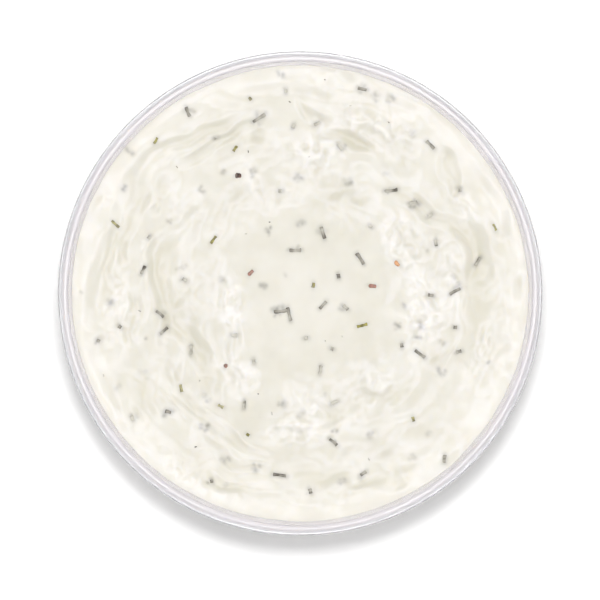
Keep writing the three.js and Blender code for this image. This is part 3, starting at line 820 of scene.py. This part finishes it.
def make_slivers(name, spots, material, slot, seed, width, thickness, lie=on_face, most_film=1):
    """One piece with all the slivers of a kind. The attribute film says how much cream covers each."""
    numbers = random_numbers(seed)
    points, faces, film = [], [], []
    for spot in spots:
        over = film_over_sliver(spot, numbers)
        stations = ROUND if spot[0] in ROUND_KINDS else BLUNT
        rings = sliver_rings(spot, stations, width, thickness, numbers, lie)
        first = len(points)
        for (t, _), ring in zip(stations, rings):
            points += ring
            film += film_over_ring(over, t, swung(numbers, FILM["blotch"]))
        last = len(points) - SLIVER_SIDES
        faces += bands(first, len(rings), SLIVER_SIDES)
        faces.append(tuple(first + i for i in range(SLIVER_SIDES)))
        faces.append(tuple(last + i for i in reversed(range(SLIVER_SIDES))))
    piece = new_object(name, points, faces, material)
    paint(piece, "film", most_film * np.array(film))
    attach(piece, "root")


# ---- Materials ----
BUMP_DISTANCE = 0.2 * MM
SOFT_MOTTLE = (0.3, 0.7)  # parts of a noise's range between which a mottled surface changes
SHARP_MOTTLE = (0.38, 0.62)


def new_material(name):
    material = bpy.data.materials.new(name)
    material.use_nodes = True
    nodes = material.node_tree.nodes
    return material, nodes, material.node_tree.links, nodes["Principled BSDF"]


def set_inputs(node, values):
    for name, value in values.items():
        node.inputs[name].default_value = value


def noise_node(nodes, links, scale, detail=2.0):
    """Noise fixed to the object."""
    place = nodes.new("ShaderNodeTexCoord")
    texture = nodes.new("ShaderNodeTexNoise")
    set_inputs(texture, {"Scale": scale, "Detail": detail})
    links.new(place.outputs["Object"], texture.inputs["Vector"])
    return texture.outputs["Fac"]


def ramp(nodes, links, factor, positions, colours):
    """A colour that turns from the first to the second as a factor goes between two positions."""
    node = nodes.new("ShaderNodeValToRGB")
    for element, position, colour in zip(node.color_ramp.elements, positions, colours):
        element.position = position
        element.color = (*colour, 1)
    links.new(factor, node.inputs["Fac"])
    return node.outputs["Color"]


def scaled(nodes, links, factor, start, end, low, high):
    """A factor that runs from start to end, brought to the range from low to high."""
    node = nodes.new("ShaderNodeMapRange")
    set_inputs(node, {"From Min": start, "From Max": end, "To Min": low, "To Max": high})
    links.new(factor, node.inputs["Value"])
    return node.outputs["Result"]


def bump(nodes, links, height, strength):
    """Fine relief that follows a factor."""
    node = nodes.new("ShaderNodeBump")
    set_inputs(node, {"Distance": BUMP_DISTANCE, "Strength": strength})
    links.new(height, node.inputs["Height"])
    return node.outputs["Normal"]


def height_share(nodes, links, low, high):
    """A factor that is 1 below the height low, and 0 above high."""
    place = nodes.new("ShaderNodeTexCoord")
    parts = nodes.new("ShaderNodeSeparateXYZ")
    links.new(place.outputs["Object"], parts.inputs["Vector"])
    return scaled(nodes, links, parts.outputs["Z"], low, high, 1, 0)


def painted(nodes, attribute):
    """A factor that paint gave to the mesh."""
    node = nodes.new("ShaderNodeAttribute")
    node.attribute_name = attribute
    return node.outputs["Fac"]


def blend(nodes, links, attribute, colour, other):
    """A colour that turns to the other as a painted factor goes from 0 to 1."""
    mix = nodes.new("ShaderNodeMix")
    mix.data_type = "RGBA"
    mix.inputs["B"].default_value = (*other, 1)
    links.new(painted(nodes, attribute), mix.inputs["Factor"])
    links.new(colour, mix.inputs["A"])
    return mix.outputs["Result"]


CREAM = (0.643, 0.619, 0.538)
CREAM_PALE = (0.7, 0.678, 0.611)
# Colour of the painted light in the middle and of the painted highlights near the wall and on glossy lumps.
CREAM_PAINTED_LIGHT = (0.737, 0.716, 0.665)
# Colour of the painted shade in the grooves.
CREAM_GROOVE_SHADE = (0.612, 0.585, 0.483)
CREAM_SIDE_PAINTED_LIGHT = (0.95, 0.928, 0.85)  # the cream's side against the wall, painted far paler than its face: painted light, so that it shows bright through the plastic
# Grey of sunk herbs, also the painted shadow round each sliver.
SMUDGE_AND_SHADOW = (0.245, 0.238, 0.212)
CREAM_ROUGHNESS = (0.26, 0.19)  # of plain cream, and of the glossy patches
CREAM_SHINE = {
    "IOR": 1.5,
    "Specular IOR Level": 1,
    "Specular Tint": (0.76, 0.76, 1, 1),
    "Subsurface Weight": 0.5,
    "Subsurface Radius": (1.0, 0.85, 0.6),
    "Subsurface Scale": 0.3 * MM,
}


def cream_material():
    material, nodes, links, shader = new_material("cream")
    base = ramp(nodes, links, noise_node(nodes, links, scale=150), SOFT_MOTTLE, (CREAM, CREAM_PALE))
    # Painted light in the middle, and painted highlights near the wall and on the tops of glossy lumps.
    base = blend(nodes, links, "painted_light", base, CREAM_PAINTED_LIGHT)
    # Painted shade in the grooves.
    base = blend(nodes, links, "deep", base, CREAM_GROOVE_SHADE)
    # Painted light on the cream's side against the wall.
    base = blend(nodes, links, "painted_light_side", base, CREAM_SIDE_PAINTED_LIGHT)
    # The grey of sunk herbs, and a painted shadow round each sliver.
    links.new(blend(nodes, links, "herb_grey_and_shadow", base, SMUDGE_AND_SHADOW), shader.inputs["Base Color"])
    roughness = scaled(nodes, links, painted(nodes, "gloss"), 0, 1, *CREAM_ROUGHNESS)
    links.new(roughness, shader.inputs["Roughness"])
    grain = noise_node(nodes, links, scale=1400, detail=3)
    links.new(bump(nodes, links, grain, strength=0.1), shader.inputs["Normal"])
    set_inputs(shader, CREAM_SHINE)
    return material


MILKY = (0.955, 0.93, 0.96)
MILKY_PALE = (0.985, 0.96, 0.985)
MILKY_RIM_SHADE = (0.7, 0.697, 0.71)  # the rim's roll, painted grey: painted shade for the dark line along its edge
FILLED_WALL = (37.4 * MM, 38.6 * MM)  # the wall has cream behind it up to here
CLEARNESS = (0.68, 0.93)  # of the bare wall, and of the wall with cream behind it
LIGHT_LET_THROUGH = ((0.27, 0.27, 0.28), (0.96, 0.96, 0.96))  # by the same two
PLASTIC_IOR = 1.49
PLASTIC_ROUGHNESS = (0.15, 0.2)


def plastic_material():
    material, nodes, links, shader = new_material("clear_plastic")
    haze = ramp(nodes, links, noise_node(nodes, links, scale=25), SOFT_MOTTLE, (MILKY, MILKY_PALE))
    # The rim's roll is painted grey, a painted shade for its dark edge.
    links.new(blend(nodes, links, "edge", haze, MILKY_RIM_SHADE), shader.inputs["Base Color"])
    filled = height_share(nodes, links, *FILLED_WALL)
    links.new(scaled(nodes, links, filled, 0, 1, *CLEARNESS), shader.inputs["Transmission Weight"])
    set_inputs(shader, {"IOR": PLASTIC_IOR})
    scuffs = noise_node(nodes, links, scale=60)
    roughness = scaled(nodes, links, scuffs, *SOFT_MOTTLE, *PLASTIC_ROUGHNESS)
    links.new(roughness, shader.inputs["Roughness"])
    light_path = nodes.new("ShaderNodeLightPath")
    clear = nodes.new("ShaderNodeBsdfTransparent")
    links.new(ramp(nodes, links, filled, (0, 1), LIGHT_LET_THROUGH), clear.inputs["Color"])
    mix = nodes.new("ShaderNodeMixShader")
    links.new(light_path.outputs["Is Shadow Ray"], mix.inputs["Fac"])
    links.new(shader.outputs["BSDF"], mix.inputs[1])
    links.new(clear.outputs["BSDF"], mix.inputs[2])
    links.new(mix.outputs["Shader"], nodes["Material Output"].inputs["Surface"])
    return material


# Darkest and lightest colour of each plant.
PLANT_COLOURS = {
    "dill": ((0.09, 0.08, 0.064), (0.205, 0.188, 0.158)),
    "stem": ((0.13, 0.112, 0.028), (0.34, 0.31, 0.075)),
    "carrot": ((0.38, 0.17, 0.075), (0.63, 0.33, 0.165)),
    "pepper": ((0.19, 0.102, 0.08), (0.39, 0.19, 0.145)),
    "peppercorn": ((0.03, 0.018, 0.015), (0.16, 0.07, 0.05)),
}
PLANT_ROUGHNESS = 0.45


def plant_material(name, colours):
    """A damp bit of plant, mottled between two colours, with a film of cream over it."""
    material, nodes, links, shader = new_material(name)
    mottle = noise_node(nodes, links, scale=900)
    base = ramp(nodes, links, mottle, SHARP_MOTTLE, colours)
    links.new(blend(nodes, links, "film", base, CREAM), shader.inputs["Base Color"])
    links.new(bump(nodes, links, mottle, strength=0.4), shader.inputs["Normal"])
    set_inputs(shader, {"Roughness": PLANT_ROUGHNESS})
    return material


def floor_material():
    material, _, _, shader = new_material("floor")
    set_inputs(shader, {"Base Color": (0.94, 0.94, 0.94, 1), "Roughness": 1, "Specular IOR Level": 0})
    return material


# ---- Floor, camera and light ----
def make_floor():
    corners = [(x * FLOOR_HALF, y * FLOOR_HALF, 0) for x, y in ((-1, -1), (1, -1), (1, 1), (-1, 1))]
    floor = new_object("floor", corners, [(0, 1, 2, 3)], floor_material(), smooth_faces=False)


def make_camera():
    metres_per_px = RIM_RADIUS / RIM_PX
    camera = bpy.data.objects.new("camera", bpy.data.cameras.new("camera"))
    bpy.context.collection.objects.link(camera)
    camera.location = (
        (IMAGE_SIZE / 2 - MIDDLE_PX[0]) * metres_per_px,
        (MIDDLE_PX[1] - IMAGE_SIZE / 2) * metres_per_px,
        CAMERA_HEIGHT,
    )
    camera.data.sensor_width = SENSOR
    camera.data.lens = SENSOR * (CAMERA_HEIGHT - HEIGHT) / (IMAGE_SIZE * metres_per_px)
    bpy.context.scene.camera = camera


def make_light(name, azimuth, from_top, distance, size, power, glossy=True):
    """A square soft light that points at the dip. from_top is its angle from straight above."""
    light = bpy.data.objects.new(name, bpy.data.lights.new(name, "AREA"))
    bpy.context.collection.objects.link(light)
    light.data.size = size
    light.data.energy = power
    a, t = math.radians(azimuth), math.radians(from_top)
    direction = Vector((math.sin(t) * math.cos(a), math.sin(t) * math.sin(a), math.cos(t)))
    light.location = direction * distance + Vector((0, 0, HEIGHT))
    light.rotation_euler = direction.to_track_quat("Z", "Y").to_euler()
    light.visible_glossy = glossy
    light.visible_camera = False


def make_world(horizon, overhead):
    """White all round, so that clear edges show against white, and dim overhead."""
    world = bpy.data.worlds.new("studio")
    world.use_nodes = True
    nodes, links = world.node_tree.nodes, world.node_tree.links
    direction = nodes.new("ShaderNodeTexCoord")
    parts = nodes.new("ShaderNodeSeparateXYZ")
    links.new(direction.outputs["Generated"], parts.inputs["Vector"])
    strength = scaled(nodes, links, parts.outputs["Z"], *HORIZON, horizon, overhead)
    links.new(strength, nodes["Background"].inputs["Strength"])
    set_inputs(nodes["Background"], {"Color": (1, 1, 1, 1)})
    bpy.context.scene.world = world


def make_stage():
    make_floor()
    make_camera()
    make_world(horizon=1, overhead=0.08)
    make_light("key", azimuth=90, from_top=5.1, distance=1.6, size=0.15, power=17.2, glossy=False)
    for azimuth in range(0, 360, RING_STEP):
        make_light(f"ring_{azimuth}", azimuth, from_top=25, distance=1.0, size=0.27, power=0.65)
    for azimuth in range(0, 360, CORE_STEP):
        make_light(f"core_{azimuth}", azimuth + CORE_SHIFT, from_top=41, distance=1.0, size=0.12, power=0.3)
        make_light(f"low_{azimuth}", azimuth, from_top=86, distance=1.0, size=0.14, power=0.2, glossy=False)
    bpy.context.scene.view_settings.view_transform = "Standard"


# ---- The whole ----
slivers = MAIN_SLIVERS + scattered_slivers()
sunk_slivers = loose_spots("dill", SUNK, SUNK_SEED, SUNK_LENGTH, SUNK_SPACING, slivers)
specks = loose_spots("speck", SPECKS, SPECK_SEED, SPECK_LENGTH, SPECK_SPACING, slivers + sunk_slivers)

make_stage()
make_tub(plastic_material())
make_cream(cream_material(), slivers, sunk_slivers)
plants = {kind: plant_material(kind, colours) for kind, colours in PLANT_COLOURS.items()}
for seed, (kind, plant) in enumerate(plants.items(), start=FIRST_FORM_SEED):
    spots = [sliver for sliver in slivers if sliver[0] == kind]
    slot_name, most_film = ("dill", 1) if kind == "dill" else ("vegetable", VEGETABLE_FILM)
    sizes = (SLIVER_WIDTH[kind], SLIVER_THICKNESS[kind])
    make_slivers(f"{kind}_slivers", spots, plant, slot_name, seed, *sizes, most_film=most_film)
dill, dill_sizes = plants["dill"], (SLIVER_WIDTH["dill"], SLIVER_THICKNESS["dill"])
make_slivers("herb_specks", specks, dill, "dill", SPECK_FORM_SEED, *SPECK_SIZES)
make_slivers("dill_at_wall", wall_spots(), dill, "dill", AT_WALL_FORM_SEED, *dill_sizes, lie=on_wall)
